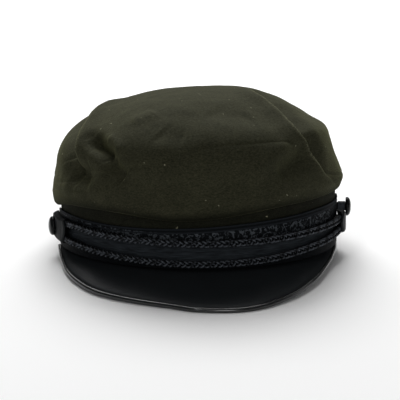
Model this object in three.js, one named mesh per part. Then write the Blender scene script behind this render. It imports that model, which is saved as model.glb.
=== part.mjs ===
// A soft skipper cap: a wool crown of two panels on a wool band, with a figured ribbon round its
// front, two plaited cords between side buttons, and a smooth peak with a rolled edge.
// Sizes are in millimetres. The front of the cap is towards -Y and up is +Z.
//
// The cap is worked out level first, with its band on a flat plane and heights measured from the
// band's lower edge. It is then tipped forward-up onto its peak and the back of its band, and moved
// so that the middle of its outline is over the origin.
import * as THREE from "three";

const TURN = 2 * Math.PI;
const rad = (degrees) => (degrees * Math.PI) / 180;
const mix = (a, b, f) => a + (b - a) * f;
const smooth = (low, high, v) => {
  const f = Math.min(1, Math.max(0, (v - low) / (high - low)));
  return f * f * (3 - 2 * f);
};

// Driving sizes.

const gap = 0.3; // between neighbouring pieces
const band = { halfWidth: 88, halfLength: 97.5, height: 38, wall: 2.2 };
const cloth = 1.8; // the crown's wall
const ribbon = { wall: 0.9, low: 0.3, reach: 86 };
const cord = { thick: 2.2, pressed: 1.3, tall: 2.3 }; // half its depth free and under the tabs
const peak = { wall: 2.0, tuck: 2.6, camber: 1.6 };
const binding = { radius: 1.5, end: 85 };
const tab = { wall: 1.1, rear: 88, dimple: [5.4, 6.6] };
const button = { radius: 6.0, thick: 3.5, side: 82 };
const shank = { radius: 3.4, rib: 0.3 };

const rest = { tip: rad(3.9), sink: 0.6 }; // the band's back is pressed this far into the ground plane
const middle = { x: 0.65, y: -16.1 }; // the middle of the cap's outline before the last move

// Helpers.

// A smooth closed curve through rows of [angle in degrees, value], for the way round the cap.
function around(rows) {
  const n = rows.length;
  const row = (i) => {
    const lap = Math.floor(i / n);
    const [a, v] = rows[i - lap * n];
    return [a + 360 * lap, v];
  };
  const slope = (i) => {
    const [a0, v0] = row(i - 1);
    const [a1, v1] = row(i + 1);
    return (v1 - v0) / (a1 - a0);
  };
  return (angle) => {
    let a = ((((angle - rows[0][0]) % 360) + 360) % 360) + rows[0][0];
    let i = 0;
    while (i < n - 1 && rows[i + 1][0] <= a) i++;
    const [a0, v0] = row(i);
    const [a1, v1] = row(i + 1);
    const w = a1 - a0;
    const f = (a - a0) / w;
    const m0 = slope(i) * w;
    const m1 = slope(i + 1) * w;
    const f2 = f * f;
    const f3 = f2 * f;
    return (2 * f3 - 3 * f2 + 1) * v0 + (f3 - 2 * f2 + f) * m0 + (3 * f2 - 2 * f3) * v1 + (f3 - f2) * m1;
  };
}

// A point of the level cap: angle from the front towards +X, distance out from the band's face, height.
const onBand = (angle, out, height) =>
  new THREE.Vector3(
    (band.halfWidth + out) * Math.sin(rad(angle)),
    -(band.halfLength + out) * Math.cos(rad(angle)),
    height,
  );

// The level cap's point as it stands on the ground plane.
function stand(p) {
  const y = p.y * Math.cos(rest.tip) + p.z * Math.sin(rest.tip);
  const z = p.z * Math.cos(rest.tip) + (band.halfLength - p.y) * Math.sin(rest.tip) - rest.sink;
  return new THREE.Vector3(p.x, y, Math.max(0, z));
}

const fromGround = (x, y, z) => {
  const up = z + rest.sink - band.halfLength * Math.sin(rest.tip);
  return new THREE.Vector3(
    x,
    y * Math.cos(rest.tip) - up * Math.sin(rest.tip),
    up * Math.cos(rest.tip) + y * Math.sin(rest.tip),
  );
};

// A closed solid from cross-sections: each section is a loop of points, and joined loops make the
// skin. An open run gets end caps; poles are loop places where all sections share one point.
function sweep(sections, { closed = false, poles = [] } = {}) {
  const count = sections.length;
  const loop = sections[0].length;
  const points = [];
  const at = sections.map((section, i) =>
    section.map((p, j) => {
      if (poles.includes(j) && i > 0) return -1;
      points.push(p);
      return points.length - 1;
    }),
  );
  at.forEach((line, i) => i > 0 && poles.forEach((j) => (line[j] = at[0][j])));
  const faces = [];
  const face = (a, b, c) => a !== b && b !== c && a !== c && faces.push([a, b, c]);
  const runs = closed ? count : count - 1;
  for (let i = 0; i < runs; i++) {
    const here = at[i];
    const next = at[(i + 1) % count];
    for (let j = 0; j < loop; j++) {
      const k = (j + 1) % loop;
      face(here[j], next[j], next[k]);
      face(here[j], next[k], here[k]);
    }
  }
  if (!closed) {
    for (const [line, turned] of [
      [at[0], false],
      [at[count - 1], true],
    ]) {
      for (let j = 0; j + 1 < loop - 1 - j; j++) {
        const [a, b, c, d] = [line[j], line[j + 1], line[loop - 2 - j], line[loop - 1 - j]];
        if (turned) {
          face(a, c, b);
          face(a, d, c);
        } else {
          face(a, b, c);
          face(a, c, d);
        }
      }
    }
  }
  const stood = points.map((p) => stand(p).sub(new THREE.Vector3(middle.x, middle.y, 0)));
  let volume = 0;
  for (const [a, b, c] of faces) volume += stood[a].dot(stood[b].clone().cross(stood[c]));
  if (volume < 0) faces.forEach((f) => f.reverse());
  const geometry = new THREE.BufferGeometry();
  geometry.setAttribute(
    "position",
    new THREE.Float32BufferAttribute(
      stood.flatMap((p) => [p.x, p.y, p.z]),
      3,
    ),
  );
  geometry.setIndex(faces.flat());
  geometry.computeVertexNormals();
  return geometry;
}

const steps = (from, to, count) => Array.from({ length: count + 1 }, (_, i) => mix(from, to, i / count));
const lap = (count) => Array.from({ length: count }, (_, i) => -180 + (360 * i) / count);

// The crown.

// The crown's skin above its rolled lower edge, row by row from the roll to the middle of the top.
// Each row gives how far it reaches from the middle and its height, at the left, right, front and back.
const crownRows = [
  { name: "roll", left: [93.8, 31.0], right: [91.8, 39.0], front: [104.0, 36.5], back: [103.5, 37.0] },
  { name: "belly", left: [92.5, 40.0], right: [92.8, 43.5], front: [107.5, 46.0], back: [107.5, 45.0] },
  { name: "flank", left: [90.8, 48.5], right: [90.5, 49.5], front: [109.0, 56.0], back: [108.5, 53.0] },
  { name: "waist", left: [89.6, 56.5], right: [87.0, 58.0], front: [107.5, 66.0], back: [107.0, 60.5] },
  { name: "brow", left: [86.8, 64.0], right: [84.3, 66.5], front: [103.5, 74.0], back: [102.5, 68.0] },
  { name: "rim", left: [81.4, 70.8], right: [81.6, 73.5], front: [95.5, 80.5], back: [94.5, 74.5] },
  { name: "slope", left: [72.8, 77.8], right: [73.3, 78.9], front: [84.0, 85.6], back: [83.0, 80.5] },
  { name: "upper", left: [61.2, 84.8], right: [61.8, 85.8], front: [68.0, 91.0], back: [69.0, 86.0] },
  { name: "dome", left: [45.6, 90.7], right: [47.3, 93.0], front: [50.0, 95.0], back: [52.0, 91.0] },
  { name: "top", left: [26.0, 95.6], right: [27.0, 97.9], front: [28.0, 97.6], back: [31.0, 95.4] },
  { name: "apex", left: [0, 98.2], right: [0, 98.2], front: [0, 98.2], back: [0, 98.2] },
];
const LAST = crownRows.length - 1;

// Rows of [angle, height] for the crown's lower edge, and of [angle, crown row] for the panel seam.
const crownEdge = around([
  [-150, 30], [-110, 25.8], [-90, 24.9], [-80, 26.2], [-70, 29.4], [-56, 32], [-34, 31.4], [-14, 29],
  [1, 30], [15, 32.6], [30, 35], [55, 36.4], [75, 36], [110, 33.5], [150, 31.5],
]);
const seamRow = around([
  [-160, 1.7], [-110, 1.3], [-75, 1.25], [-52, 1.9], [-36, 2.5], [-19, 2.95], [-9, 3.5], [0, 3.85],
  [14, 4.05], [32, 4.15], [40, 3.7], [46, 3.0], [54, 2.1], [75, 1.25], [110, 1.3], [160, 1.7],
]);

const hermite = (v0, v1, v2, v3, f) => {
  const bend = 2 * v0 - 5 * v1 + 4 * v2 - v3;
  const twist = 3 * v1 - v0 - 3 * v2 + v3;
  return 0.5 * (2 * v1 + (v2 - v0) * f + bend * f * f + twist * f * f * f);
};

function alongRows(side, column, t) {
  const i = Math.min(LAST - 1, Math.max(0, Math.floor(t)));
  const pick = (k) => {
    if (k < 0) return 2 * crownRows[0][side][column] - crownRows[1][side][column];
    if (k > LAST) return crownRows[2 * LAST - k][side][column] * (column === 0 ? -1 : 1);
    return crownRows[k][side][column];
  };
  return hermite(pick(i - 1), pick(i), pick(i + 1), pick(i + 2), t - i);
}

function crownBase(angle, t) {
  const s = Math.sin(rad(angle));
  const c = Math.cos(rad(angle));
  const across = s > 0 ? "right" : "left";
  const fore = c > 0 ? "front" : "back";
  return new THREE.Vector3(
    alongRows(across, 0, t) * s,
    -alongRows(fore, 0, t) * c,
    alongRows(across, 1, t) * s * s + alongRows(fore, 1, t) * c * c,
  );
}

// The crown row, as a fraction, at which the skin reaches a height.
function rowAtHeight(angle, height) {
  let [low, high] = [0, LAST];
  for (let i = 0; i < 20; i++) {
    const t = (low + high) / 2;
    if (crownBase(angle, t).z < height) low = t;
    else high = t;
  }
  return low;
}

function crownNormal(angle, t) {
  if (t > LAST - 0.02) return new THREE.Vector3(0, 0, 1);
  const d = 0.01;
  const a = crownBase(angle + 0.5, t).sub(crownBase(angle - 0.5, t));
  const b = crownBase(angle, Math.min(LAST, t + d)).sub(crownBase(angle, Math.max(0, t - d)));
  return a.cross(b).normalize();
}

// Folds of the crown: how far each stands out (or in, when negative), how wide it is, and its run as
// [angle, crown row] pairs.
const folds = [
  {
    name: "right ridge", out: 3.0, width: 6,
    run: [[70, 8.2], [50, 7.0], [42, 5.9], [36, 4.7], [42, 3.9], [47, 3.0], [54, 2.1]],
  },
  { name: "right hollow", out: -4.0, width: 10, run: [[30, 3.0], [37, 2.8], [43, 2.4]] },
  {
    name: "left ridge", out: 3.0, width: 6,
    run: [[-80, 6.6], [-62, 6.2], [-54, 5.2], [-55, 4.2], [-58, 3.1]],
  },
  {
    name: "left pinch", out: -6.0, width: 6,
    run: [[-47, 4.1], [-41, 3.4], [-38, 3.0], [-35, 2.3], [-31, 1.9]],
  },
  { name: "left hollow", out: -5.0, width: 8, run: [[-63, 2.3], [-55, 2.1], [-47, 2.0]] },
  { name: "brow fold", out: -1.5, width: 7, run: [[16, 1.5], [20, 2.2], [28, 3.3], [35, 3.4]] },
];
for (const fold of folds) fold.path = fold.run.map(([angle, row]) => crownBase(angle, row));

function foldShift(p) {
  let shift = 0;
  for (const { out, width, path } of folds) {
    let best = Infinity;
    let along = 0;
    path.slice(1).forEach((b, i) => {
      const a = path[i];
      const run = b.clone().sub(a);
      const f = Math.min(1, Math.max(0, p.clone().sub(a).dot(run) / run.lengthSq()));
      const away = p.distanceTo(a.clone().addScaledVector(run, f));
      if (away < best) {
        best = away;
        along = (i + f) / (path.length - 1);
      }
    });
    const fade = mix(0.45, 1, smooth(0, 0.2, along)) * mix(0.45, 1, smooth(1, 0.8, along));
    shift += out * fade * Math.exp(-((best / width) ** 2));
  }
  return shift;
}

function crownPoint(angle, t, inward = 0) {
  const base = crownBase(angle, t);
  const calm = smooth(0, 1.2, t);
  return base.addScaledVector(crownNormal(angle, t), foldShift(base) * calm - inward);
}

// The crown's lower edge, folded under and sewn to the band. Outside, its rows give how far they are
// out from the band's face and over the crown's edge; inside, over the band's top.
const bead = {
  clear: 0.5,
  outer: [
    { out: 0.7, over: 0.8 },
    { out: 1.9, over: -0.1 },
    { out: 3.1, over: 0.7 },
  ],
  sag: { along: 0.55, drop: 0.6 },
  inner: [
    { out: -band.wall, over: 1.8 },
    { out: 0.2, over: 2.1 },
    { out: 1.8, over: 2.6 },
  ],
  rise: 0.8,
};

function crownBead(angle) {
  const seat = band.height + gap;
  const outer = [
    onBand(angle, -band.wall, seat),
    onBand(angle, bead.clear, seat),
    ...bead.outer.map(({ out, over }) => onBand(angle, out, crownEdge(angle) + over)),
  ];
  const sag = outer[outer.length - 1].clone().lerp(crownPoint(angle, 0), bead.sag.along);
  outer.push(sag.sub(new THREE.Vector3(0, 0, bead.sag.drop)));
  const inner = bead.inner.map(({ out, over }) => onBand(angle, out, band.height + over));
  return { outer, inner };
}

const COLUMNS = 72;
const SKIN_START = 0.25; // in crown rows, over the roll
const SEAM_GAP = 0.02; // in crown rows, on each side of the panel seam
const crownSide = sweep(
  lap(COLUMNS).map((angle) => {
    const { outer, inner } = crownBead(angle);
    const seam = seamRow(angle) - SEAM_GAP;
    const skin = steps(SKIN_START, seam, 5).map((t) => crownPoint(angle, t));
    const low = rowAtHeight(angle, inner[2].z + bead.rise);
    const back = steps(low, seam, 3).map((t) => crownPoint(angle, t, cloth));
    return [...outer, ...skin, ...back.reverse(), ...inner.reverse()];
  }),
  { closed: true },
);

const TOP_ROWS = 9;
const crownTop = sweep(
  lap(COLUMNS).map((angle) => {
    const seam = seamRow(angle) + SEAM_GAP;
    const skin = steps(seam, LAST, TOP_ROWS).map((t) => crownPoint(angle, t));
    const back = steps(seam, LAST, TOP_ROWS).map((t) => crownPoint(angle, t, cloth)).reverse();
    return [...skin, ...back];
  }),
  { closed: true, poles: [TOP_ROWS, TOP_ROWS + 1] },
);

// The band and its trim.

const bandRing = sweep(
  lap(COLUMNS).map((angle) => [
    onBand(angle, 0, 0),
    onBand(angle, 0, band.height),
    onBand(angle, -band.wall, band.height),
    onBand(angle, -band.wall, 0),
  ]),
  { closed: true },
);

const ribbonTop = around([
  [-90, 22.6], [-80, 23.2], [-70, 23.8], [-50, 23.4], [-30, 23.4], [-5, 24.6], [10, 26], [37, 28.2],
  [52, 29.2], [90, 29],
]);
const ribbonOut = gap + ribbon.wall;
const ribbonStrip = sweep(
  steps(-ribbon.reach, ribbon.reach, 48).map((angle) => [
    onBand(angle, ribbonOut, ribbon.low),
    onBand(angle, ribbonOut, ribbonTop(angle)),
    onBand(angle, gap, ribbonTop(angle)),
    onBand(angle, gap, ribbon.low),
  ]),
);

const upperCord = around([
  [-90, 15.5], [-76, 16.2], [-70, 17.2], [-66, 18.1], [-61, 18.8], [-57, 18.9], [-48, 17.9], [-35, 17],
  [-4, 15.7], [21, 16], [43, 17], [60, 17.4], [76, 17.2], [90, 17],
]);
const lowerCord = around([
  [-90, 9.5], [-77, 8.4], [-59, 8.0], [-41, 6.1], [-22, 4.4], [-4, 3.6], [23, 4.6], [43, 7.4], [60, 9.4],
  [71, 10.4], [90, 10.6],
]);
// Half the cords' depth: their ends are pressed flat under the tabs.
const cordDeep = (angle) => {
  const free = smooth(-70, -61, angle) * smooth(81, 76, angle);
  return mix(cord.pressed, cord.thick, free);
};
const CORD_SIDES = 8;
const cordRod = (height, from, to) =>
  sweep(
    steps(from, to, 50).map((angle) => {
      const deep = cordDeep(angle);
      return Array.from({ length: CORD_SIDES }, (_, i) => {
        const turn = (TURN * (i + 0.5)) / CORD_SIDES;
        const out = ribbonOut + gap + deep * (1 + Math.cos(turn));
        return onBand(angle, out, height(angle) + cord.tall * Math.sin(turn));
      });
    }),
  );

// The peak.

// Rows of the peak's edge: angle from the front, how far it reaches past the band, height over the ground.
const peakRows = [
  { angle: -85, reach: 1.4, height: 4.3 },
  { angle: -76, reach: 2.5, height: 4.1 },
  { angle: -62, reach: 7.4, height: 3.3 },
  { angle: -45, reach: 19.2, height: 2.6 },
  { angle: -32, reach: 29.3, height: 2.2 },
  { angle: -18, reach: 34.6, height: 1.8 },
  { angle: -11, reach: 37.7, height: 1.6 },
  { angle: -4, reach: 43.3, height: 1.42 },
  { angle: 8, reach: 44.6, height: 1.42 },
  { angle: 20, reach: 33.7, height: 2.6 },
  { angle: 31, reach: 21.6, height: 4.0 },
  { angle: 45, reach: 9.4, height: 5.2 },
  { angle: 60, reach: 2.5, height: 5.6 },
  { angle: 72, reach: 0.4, height: 5.2 },
  { angle: 85, reach: -0.2, height: 4.6 },
];
const peakReach = around([...peakRows.map((r) => [r.angle, r.reach]), [180, 0]]);
const peakHeight = around([...peakRows.map((r) => [r.angle, r.height]), [180, 4]]);

// The middle line of the peak's rolled edge, and its direction of travel.
function peakEdge(angle) {
  const s = Math.sin(rad(angle));
  const c = Math.cos(rad(angle));
  const reach = 1 / Math.hypot(s / band.halfWidth, c / band.halfLength) + peakReach(angle);
  return fromGround(reach * s, -reach * c, peakHeight(angle));
}

const edgeAhead = (angle) => peakEdge(angle + 0.5).sub(peakEdge(angle - 0.5)).normalize();

// The middle of the peak's wall: across runs from 0 at the band to 1 beside the rolled edge.
function peakMiddle(angle, across) {
  const level = onBand(angle, -peak.tuck, -gap - peak.wall / 2);
  const edge = peakEdge(angle);
  const ahead = edgeAhead(angle);
  const inward = level.clone().sub(edge);
  inward.addScaledVector(ahead, -inward.dot(ahead)).normalize();
  edge.addScaledVector(inward, binding.radius + gap);
  const p = level.lerp(edge, across);
  p.z += peak.camber * Math.min(1, Math.max(0, peakReach(angle)) / 20) * 4 * across * (1 - across);
  return p;
}

function peakNormal(angle, across) {
  const d = 0.05;
  const a = peakMiddle(angle + 1, across).sub(peakMiddle(angle - 1, across));
  const b = peakMiddle(angle, across + d).sub(peakMiddle(angle, across - d));
  const n = b.cross(a).normalize();
  return n.z < 0 ? n.negate() : n;
}

// The rolled edge runs the whole way round, and the peak stops short of both its ends.
const edgeAngles = steps(-binding.end, binding.end, 46);
const sheetAngles = edgeAngles.slice(1, -6);

const PEAK_ROWS = 6;
const peakSheet = sweep(
  sheetAngles.map((angle) => {
    const rows = steps(0, 1, PEAK_ROWS);
    const face = (across, side) =>
      peakMiddle(angle, across).addScaledVector(
        across === 0 ? new THREE.Vector3(0, 0, 1) : peakNormal(angle, across),
        (side * peak.wall) / 2,
      );
    return [...rows.map((v) => face(v, 1)), ...rows.map((v) => face(v, -1)).reverse()];
  }),
);

const bindingRod = sweep(
  edgeAngles.map((angle) => {
    const centre = peakEdge(angle);
    const ahead = edgeAhead(angle);
    const across = new THREE.Vector3(ahead.y, -ahead.x, 0).normalize();
    const up = across.clone().cross(ahead).normalize();
    return Array.from({ length: 8 }, (_, i) => {
      const turn = (TURN * (i + 0.5)) / 8;
      return centre
        .clone()
        .addScaledVector(across, binding.radius * Math.cos(turn))
        .addScaledVector(up, binding.radius * Math.sin(turn));
    });
  }),
);

// The side tabs, shanks and buttons.

// Each side's button height and distance out, and its shank's foot; its tab's top at the front and at
// the rear, the angles between which it falls, its bottom, and its front edge from top to bottom in
// degrees from the front; and whether the tab has a dimple for the shank.
const sides = {
  left: {
    sign: -1, button: 12.4, base: 5.4, foot: 2.9, top: 21.6, rearTop: 20.4, fall: [64, 72], low: 4.4,
    front: [68, 65.5, 67, 71], dimpled: true,
  },
  right: {
    sign: 1, button: 21.8, base: 6.7, foot: 1.5, top: 22.2, rearTop: 17.6, fall: [74, 79.5], low: 7.0,
    front: [72, 67, 68, 74], dimpled: false,
  },
};
const MM_PER_DEGREE = rad(band.halfWidth); // along the band at its sides
const TUCK = 12; // how sharply the tabs turn down at their edges
const TAB_DOWNS = [0, 0.04, 0.12, 0.25, 0.38, 0.5, 0.62, 0.75, 0.88, 0.96, 1];

// A leather tab from under the button over both cords' ends, turned down to the ribbon at its edges.
function tabSheet({ sign, button: height, top, rearTop, fall, low, front, dimpled }) {
  const flat = ribbonOut + gap;
  const face = (v, w, lift) => {
    const k = Math.min(2, Math.floor(3 * v));
    const angle = mix(mix(front[k], front[k + 1], 3 * v - k), tab.rear, w);
    const level = mix(mix(top, rearTop, smooth(fall[0], fall[1], angle)), low, v);
    const over = flat + gap + 2 * cordDeep(sign * angle);
    const down = Math.abs(2 * v - 1) ** TUCK;
    const away = Math.hypot(level - height, (angle - button.side) * MM_PER_DEGREE);
    const sunk = dimpled ? 1 - smooth(tab.dimple[0], tab.dimple[1], away) : 0;
    return onBand(sign * angle, mix(flat, over, (1 - down) * (1 - sunk)) + lift, level);
  };
  return sweep(
    steps(0, 1, 12).map((w) => [
      ...TAB_DOWNS.map((v) => face(v, w, tab.wall)),
      ...TAB_DOWNS.map((v) => face(v, w, 0)).reverse(),
    ]),
  );
}

// A turned solid on the cap's side: profile rows are [radius, distance out from the band].
function turned({ sign, button: height }, profile, count) {
  const angle = sign * button.side;
  const foot = onBand(angle, 0, height);
  const out = onBand(angle, 1, height).sub(foot).normalize();
  const up = new THREE.Vector3(0, 0, 1);
  const across = up.clone().cross(out).normalize();
  return sweep(
    Array.from({ length: count }, (_, i) => {
      const turn = (TURN * i) / count;
      return profile.map(([radius, distance]) =>
        foot
          .clone()
          .addScaledVector(out, distance)
          .addScaledVector(across, radius * Math.cos(turn))
          .addScaledVector(up, radius * Math.sin(turn)),
      );
    }),
    { closed: true, poles: [0, profile.length - 1] },
  );
}

// Profiles as shares of the button's radius and thickness, and of the shank's ribs and length.
const domeRows = [[0.86, 0], [1, 0.2], [1, 0.37], [0.88, 0.66], [0.6, 0.88], [0.3, 0.97]];
const ribRows = [[0, 0], [1, 0.2], [0, 0.4], [1, 0.6], [0, 0.8], [0, 1]];

const buttonProfile = (base) => [
  [0, base],
  ...domeRows.map(([across, out]) => [across * button.radius, base + out * button.thick]),
  [0, base + button.thick],
];
const shankProfile = (foot, base) => [
  [0, foot],
  ...ribRows.map(([rib, out]) => [shank.radius + rib * shank.rib, mix(foot, base - gap, out)]),
  [0, base - gap],
];

// The whole cap.

const material = (name, color, roughness) => {
  const m = new THREE.MeshStandardMaterial({ color, roughness, metalness: 0 });
  m.name = name;
  return m;
};
const wool = material("olive_wool", 0x3a3c2c, 0.95);
const weave = material("black_ribbon", 0x1c1e20, 0.6);
const braid = material("black_braid", 0x1c1e20, 0.7);
const leather = material("black_leather", 0x121415, 0.42);
const plastic = material("black_plastic", 0x101112, 0.2);

const cap = new THREE.Group();
cap.name = "skipper_cap";
const add = (name, geometry, mat) => {
  const mesh = new THREE.Mesh(geometry, mat);
  mesh.name = name;
  cap.add(mesh);
};

add("band", bandRing, wool);
add("ribbon", ribbonStrip, weave);
add("crown_side", crownSide, wool);
add("crown_top", crownTop, wool);
add("cord_upper", cordRod(upperCord, -70, 75.5), braid);
add("cord_lower", cordRod(lowerCord, -70, 80), braid);
add("peak", peakSheet, leather);
add("peak_binding", bindingRod, leather);
for (const [side, place] of Object.entries(sides)) {
  add(`tab_${side}`, tabSheet(place), leather);
  add(`shank_${side}`, turned(place, shankProfile(place.foot, place.base), 12), braid);
  add(`button_${side}`, turned(place, buttonProfile(place.base), 20), plastic);
}

export default cap;
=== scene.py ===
"""A soft olive wool skipper cap with plaited cords and a smooth black peak, dressed round its frame."""

import math

import bmesh
import bpy
import numpy as np
from mathutils import Matrix, Vector, noise


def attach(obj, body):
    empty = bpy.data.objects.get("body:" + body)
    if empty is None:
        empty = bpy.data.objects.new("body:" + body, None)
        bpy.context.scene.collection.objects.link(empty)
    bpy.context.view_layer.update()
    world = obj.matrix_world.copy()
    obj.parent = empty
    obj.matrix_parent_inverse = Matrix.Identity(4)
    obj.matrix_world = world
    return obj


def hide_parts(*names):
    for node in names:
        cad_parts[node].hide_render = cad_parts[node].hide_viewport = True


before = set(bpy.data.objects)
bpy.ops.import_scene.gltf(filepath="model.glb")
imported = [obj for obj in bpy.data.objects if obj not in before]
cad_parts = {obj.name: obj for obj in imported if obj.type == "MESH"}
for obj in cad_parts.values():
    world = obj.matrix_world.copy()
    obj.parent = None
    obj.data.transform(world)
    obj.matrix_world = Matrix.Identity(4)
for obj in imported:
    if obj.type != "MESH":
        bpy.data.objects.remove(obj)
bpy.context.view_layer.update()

# The headband
# The band is a ring of dark olive melton wool, folded double and pressed to a firm strip 38 mm high.
# The crown is gathered on to its top edge, and the ribbon, cords and peak are sewn to its front half.
# Every piece is worked out on the level band, in millimetres, and then tipped forward on to the peak.
METRE = 1000  # mm
BAND_HALF_WIDTH = 88.0
BAND_HALF_LENGTH = 97.5
BAND_HEIGHT = 38.0
BAND_WALL = 2.2
REST_TIP = math.radians(3.9)
REST_SINK = 0.6
CAP_MIDDLE = np.array([0.65, -16.1])
SEWN_GAP = 0.3


def on_band(angle, out, height):
    """A place on the level cap: degrees from the front towards +X, mm out from the band and mm up.
    +X is called the right, as it is seen from the front."""
    angle, out, height = np.broadcast_arrays(angle, out, height)
    turn = np.radians(np.asarray(angle, float))
    x = (BAND_HALF_WIDTH + out) * np.sin(turn)
    y = -(BAND_HALF_LENGTH + out) * np.cos(turn)
    return np.stack([x, y, np.asarray(height, float)], axis=-1)


def lay_down(places):
    """Tips level places on to the peak and the band's back, and gives them in metres."""
    x, y, z = np.moveaxis(np.asarray(places, float), -1, 0)
    lain_y = y * math.cos(REST_TIP) + z * math.sin(REST_TIP)
    lain_z = z * math.cos(REST_TIP) + (BAND_HALF_LENGTH - y) * math.sin(REST_TIP) - REST_SINK
    moved = [x - CAP_MIDDLE[0], lain_y - CAP_MIDDLE[1], np.maximum(0, lain_z)]
    return np.stack(moved, axis=-1) / METRE


def tidy_mesh(mesh, crease):
    """Merges doubled points, points the faces outwards and smooths all but the sharp edges."""
    shell = bmesh.new()
    shell.from_mesh(mesh)
    bmesh.ops.remove_doubles(shell, verts=shell.verts, dist=2e-6)
    bmesh.ops.dissolve_degenerate(shell, edges=shell.edges, dist=1e-6)
    bmesh.ops.recalc_face_normals(shell, faces=shell.faces)
    shell.to_mesh(mesh)
    shell.free()
    mesh.shade_smooth()
    mesh.set_sharp_from_angle(angle=math.radians(crease))


def sew(name, mesh, material, node):
    """Puts a finished mesh into the scene as the piece that stands for a CAD node."""
    piece = bpy.data.objects.new(name, mesh)
    bpy.context.scene.collection.objects.link(piece)
    if material.name not in mesh.materials:
        mesh.materials.clear()
        mesh.materials.append(material)
    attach(piece, "root")
    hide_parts(node)


def loft(name, sections, ring, crease=50, marks=None):
    """A closed skin over cross-section loops given in metres, with its UVs in metres too."""
    sections = np.asarray(sections)
    count, loop = sections.shape[:2]
    middles = sections.mean(axis=1)
    hops = np.linalg.norm(np.roll(middles, -1, axis=0) - middles, axis=1)
    along = np.concatenate([[0], np.cumsum(hops)])
    sides = np.linalg.norm(np.roll(sections, -1, axis=1) - sections, axis=2)
    about = np.concatenate([np.zeros((count, 1)), np.cumsum(sides, axis=1)], axis=1)
    runs = count if ring else count - 1
    i, j = np.meshgrid(np.arange(runs), np.arange(loop), indexing="ij")
    i_next, j_next = (i + 1) % count, (j + 1) % loop
    corners = [(i, j, i, j), (i_next, j, i + 1, j), (i_next, j_next, i + 1, j + 1), (i, j_next, i, j + 1)]
    faces = np.stack([row * loop + place for row, place, _, _ in corners], axis=-1).reshape(-1, 4)
    uvs = [np.stack([along[u], about[u % count, v]], axis=-1) for _, _, u, v in corners]
    uvs = np.stack(uvs, axis=-2).reshape(-1, 2)
    if not ring:
        ladder = [(k, k + 1, loop - 2 - k, loop - 1 - k) for k in range(loop // 2 - 1)]
        for row in (0, count - 1):
            faces = np.concatenate([faces, np.array(ladder) + row * loop])
            ends = [(along[row], about[row, k]) for rung in ladder for k in rung]
            uvs = np.concatenate([uvs, np.array(ends)])
    mesh = bpy.data.meshes.new(name)
    mesh.from_pydata(sections.reshape(-1, 3).tolist(), [], faces.tolist())
    layer = mesh.uv_layers.new(name="UVMap")
    layer.data.foreach_set("uv", uvs.astype(np.float32).ravel())
    for mark, values in (marks or {}).items():
        kept = mesh.attributes.new(mark, "FLOAT", "POINT")
        kept.data.foreach_set("value", np.asarray(values, np.float32).ravel())
    tidy_mesh(mesh, crease)
    return mesh


def linear(code):
    """An sRGB hex colour as linear RGBA."""
    parts = [int(code[k : k + 2], 16) / 255 for k in (1, 3, 5)]
    return (*[c / 12.92 if c <= 0.04045 else ((c + 0.055) / 1.055) ** 2.4 for c in parts], 1.0)


def fill(node, inputs):
    """Links a node's inputs to sockets, or to other nodes' first sockets, and sets the rest as values."""
    for key, value in inputs.items():
        if isinstance(value, bpy.types.Node):
            value = value.outputs[0]
        if isinstance(value, bpy.types.NodeSocket):
            node.id_data.links.new(value, node.inputs[key])
        else:
            node.inputs[key].default_value = value


def add(tree, kind, inputs=None, **settings):
    """Adds a node with its settings, values and links."""
    made = tree.nodes.new(kind)
    for name, value in settings.items():
        setattr(made, name, value)
    fill(made, inputs or {})
    return made


def finish_for(name):
    """A new material with its tree and its shader."""
    material = bpy.data.materials.new(name)
    material.use_nodes = True
    return material, material.node_tree, material.node_tree.nodes["Principled BSDF"]


# Melton wool: woven, felted and brushed, so the weave is hidden under a short matt nap.
# It is mottled where fibres of two olives and a grey lie together, and pale lint clings to it.
WOOL_SHADE = "#1d1e14"
WOOL_BODY = "#2b2b1f"
WOOL_GREY = "#3a3a2b"
WOOL_STOPS = (0.36, 0.5, 0.7)  # where those three lie in the mottle
WOOL_LINT = "#7a7864"
# The next two: a paler olive on creased edges, partly wear and partly painted highlight, and near black,
# painted shade at the lower edge.
WOOL_WEAR_AND_HIGHLIGHT = "#6b6a55"
WOOL_PAINTED_SHADE = "#090a06"
WOOL_BLOOM = "#76774e"
NAP_BLOOM = 0.34
# The band's lower sheen goes with its darker colours as painted shade.
BAND_SHADE_BLOOM = 0.05
NAP_CLUMP_MM = 14.0
NAP_FIBRE_MM = 0.75  # real fibres are 0.02 mm; drawn coarse enough to show
NAP_LIE = (0.55, 0.55, 1.0)  # the fibres are brushed round the cap, so they show longer that way
FIBRE_SHARE = 0.78  # of the mottle, against the clumps
LINT_SPACING_MM = 6.0
LINT_CURL_MM = 2.5
LINT_WANDER_MM = 3.0
LINT_BARE = 0.7  # the share of places with no lint

# Map Range takes a value, the two ends of what comes in and the two ends of what goes out, as 0 to 4.
# Mix takes its share as 0, and then two numbers as 2 and 3 or two colours as 6 and 7.
wool, tree, shader = finish_for("brushed_melton_wool")
place = add(tree, "ShaderNodeTexCoord").outputs["Object"]
clumps = add(tree, "ShaderNodeTexNoise", {
    "Vector": place, "Scale": METRE / NAP_CLUMP_MM, "Detail": 4.0, "Roughness": 0.6,
})
brushed = add(tree, "ShaderNodeMapping", {"Vector": place, "Scale": NAP_LIE})
fibres = add(tree, "ShaderNodeTexNoise", {
    "Vector": brushed, "Scale": METRE / NAP_FIBRE_MM, "Detail": 3.0, "Roughness": 0.7, "Distortion": 0.6,
})
mottle = add(tree, "ShaderNodeMix", {0: FIBRE_SHARE, 2: clumps, 3: fibres})
wool_colours = add(tree, "ShaderNodeValToRGB", {0: mottle})
stops = wool_colours.color_ramp.elements
stops.new(WOOL_STOPS[1])
for stop, position, colour in zip(stops, WOOL_STOPS, (WOOL_SHADE, WOOL_BODY, WOOL_GREY)):
    stop.position = position
    stop.color = linear(colour)

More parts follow.
